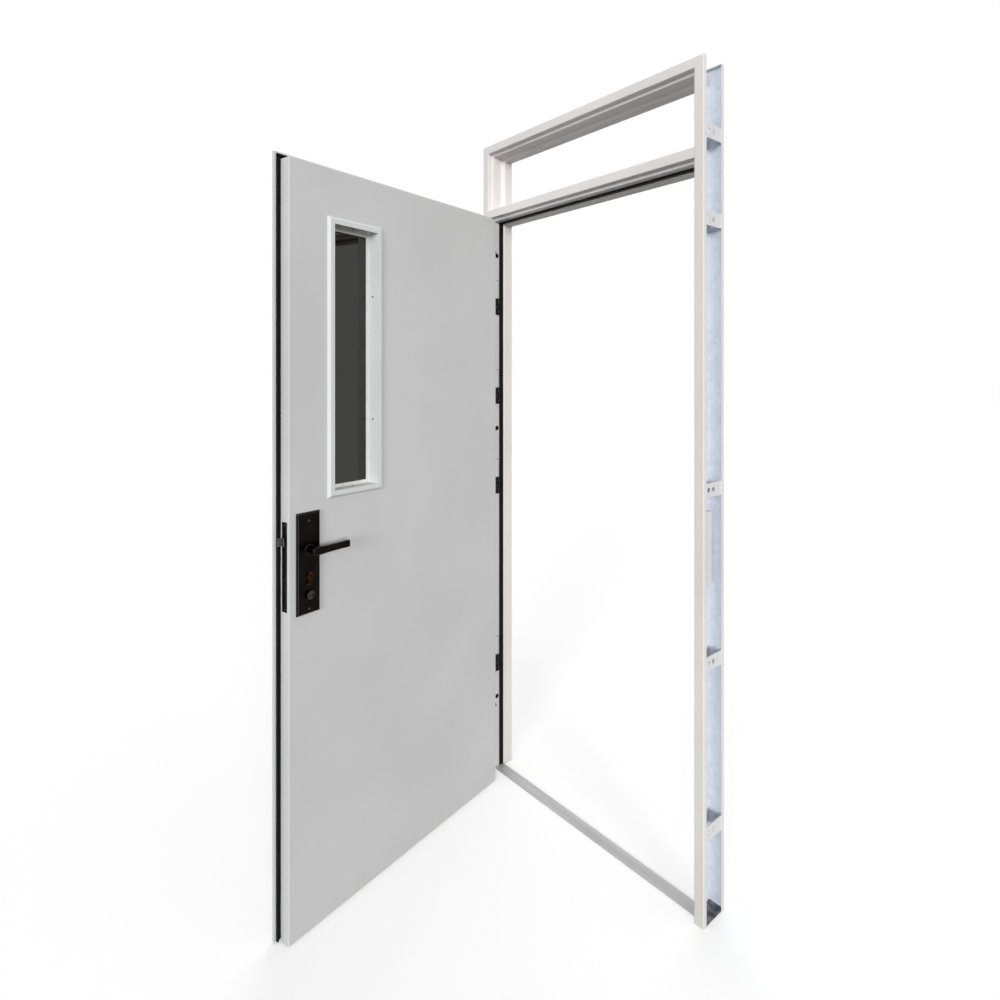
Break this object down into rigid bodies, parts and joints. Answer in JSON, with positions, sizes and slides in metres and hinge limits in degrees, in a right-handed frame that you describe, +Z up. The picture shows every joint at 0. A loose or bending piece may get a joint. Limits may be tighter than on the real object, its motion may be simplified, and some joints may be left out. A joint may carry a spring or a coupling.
{
  "type": "steel fire door with frame",
  "caption": "Single-leaf steel fire door standing open in a folded steel frame, with a narrow window, lever lock, lift-off hinges and an open fanlight above the transom.",
  "frame": {"origin": "on the floor under the threshold strip, in the middle of the frame's width and depth", "axes": "+X from the hinge jamb to the lock jamb, +Y from the hinge side's front face through the doorway to the back, +Z up"},
  "size_m": [0.976, 1.0102, 2.4],
  "materials": {
    "frame_paint": "satin powder coat, warm white",
    "leaf_paint": "satin powder coat, pale grey-white",
    "glazing_paint": "satin powder coat, white",
    "foot_steel": "dark grey, scuffed",
    "threshold_steel": "plain grey",
    "seal_rubber": "matt black",
    "hinge_bronze": "dark bronze, satin",
    "pin_steel": "bright",
    "furniture_bronze": "dark bronze, satin",
    "cylinder_copper": "copper-coloured, satin",
    "lock_black": "black, satin",
    "lock_steel": "zinc plated",
    "fire_glass": "clear, dark behind",
    "glass_seal_white": "white glazing tape",
    "infill_wool": "mineral wool"
  },
  "bodies": {
    "frame": {"hinge_jamb": "frame_paint", "lock_jamb": "frame_paint", "head_rail": "frame_paint", "transom_bar": "frame_paint", "threshold": "threshold_steel", "hinge_jamb_foot": "foot_steel", "lock_jamb_foot": "foot_steel", "hinge_jamb_straps": "frame_paint", "lock_jamb_straps": "frame_paint", "strike_plate": "lock_steel", "strike_box": "frame_paint", "stop_seal_hinge": "seal_rubber", "stop_seal_lock": "seal_rubber", "stop_seal_head": "seal_rubber", "hinge_frame_flag_1": "hinge_bronze", "hinge_frame_flag_2": "hinge_bronze", "hinge_frame_flag_3": "hinge_bronze", "hinge_frame_flag_4": "hinge_bronze", "hinge_pin_1": "pin_steel", "hinge_pin_2": "pin_steel", "hinge_pin_3": "pin_steel", "hinge_pin_4": "pin_steel"},
    "leaf": {"leaf_pull_skin": "leaf_paint", "leaf_push_skin": "leaf_paint", "leaf_core": "infill_wool", "lip_seal_free": "seal_rubber", "lip_seal_top": "seal_rubber", "lip_seal_hinge": "seal_rubber", "dog_bolts": "lock_steel", "glazing_frame_push": "glazing_paint", "glazing_frame_pull": "glazing_paint", "glass_pane": "fire_glass", "glass_seal_push": "glass_seal_white", "glass_seal_pull": "glass_seal_white", "handle_plate_push": "furniture_bronze", "handle_plate_pull": "furniture_bronze", "lock_case": "lock_steel", "lock_faceplate": "lock_black", "cylinder_body": "cylinder_copper", "hinge_leaf_flag_1": "hinge_bronze", "hinge_leaf_flag_2": "hinge_bronze", "hinge_leaf_flag_3": "hinge_bronze", "hinge_leaf_flag_4": "hinge_bronze"},
    "lever": {"lever_push": "furniture_bronze", "lever_pull": "furniture_bronze", "spindle": "lock_steel", "follower": "lock_steel"},
    "latch": {"latch_bolt": "lock_steel"},
    "thumb_turn": {"thumb_turn": "furniture_bronze"},
    "deadbolt": {"deadbolt": "lock_steel"},
    "plug_push": {"cylinder_plug_push": "cylinder_copper"},
    "plug_pull": {"cylinder_plug_pull": "cylinder_copper"}
  },
  "joints": [
    {"name": "leaf_hinge", "type": "hinge", "parent": "frame", "child": "leaf", "pos_m": [-0.4565, -0.0705, 1], "axis": [0, 0, 1], "range_deg": [-102, 78]},
    {"name": "lever_turn", "type": "hinge", "parent": "leaf", "child": "lever", "pos_m": [-0.23367, -0.87833, 1.046], "axis": [0.9781, 0.2079, 0], "range_deg": [-45, 0], "stiffness_Nm_per_rad": 2, "springref_deg": 11.46},
    {"name": "latch_slide", "type": "slide", "parent": "leaf", "child": "latch", "axis": [0.2079, -0.9781, 0], "range_m": [-0.017, 0]},
    {"name": "thumb_turn_spin", "type": "hinge", "parent": "leaf", "child": "thumb_turn", "pos_m": [-0.23367, -0.87833, 0.923], "axis": [0.9781, 0.2079, 0], "range_deg": [0, 90]},
    {"name": "deadbolt_slide", "type": "slide", "parent": "leaf", "child": "deadbolt", "axis": [0.2079, -0.9781, 0], "range_m": [0, 0.022]},
    {"name": "plug_push_turn", "type": "hinge", "parent": "leaf", "child": "plug_push", "pos_m": [-0.23367, -0.87833, 0.975], "axis": [0.9781, 0.2079, 0], "continuous": true},
    {"name": "plug_pull_turn", "type": "hinge", "parent": "leaf", "child": "plug_pull", "pos_m": [-0.23367, -0.87833, 0.975], "axis": [0.9781, 0.2079, 0], "continuous": true}
  ],
  "couplings": [
    {"joint": "latch_slide", "follows": "lever_turn", "m_per_rad": 0.021645},
    {"joint": "thumb_turn_spin", "follows": "deadbolt_slide", "rad_per_m": 71.399}
  ]
}
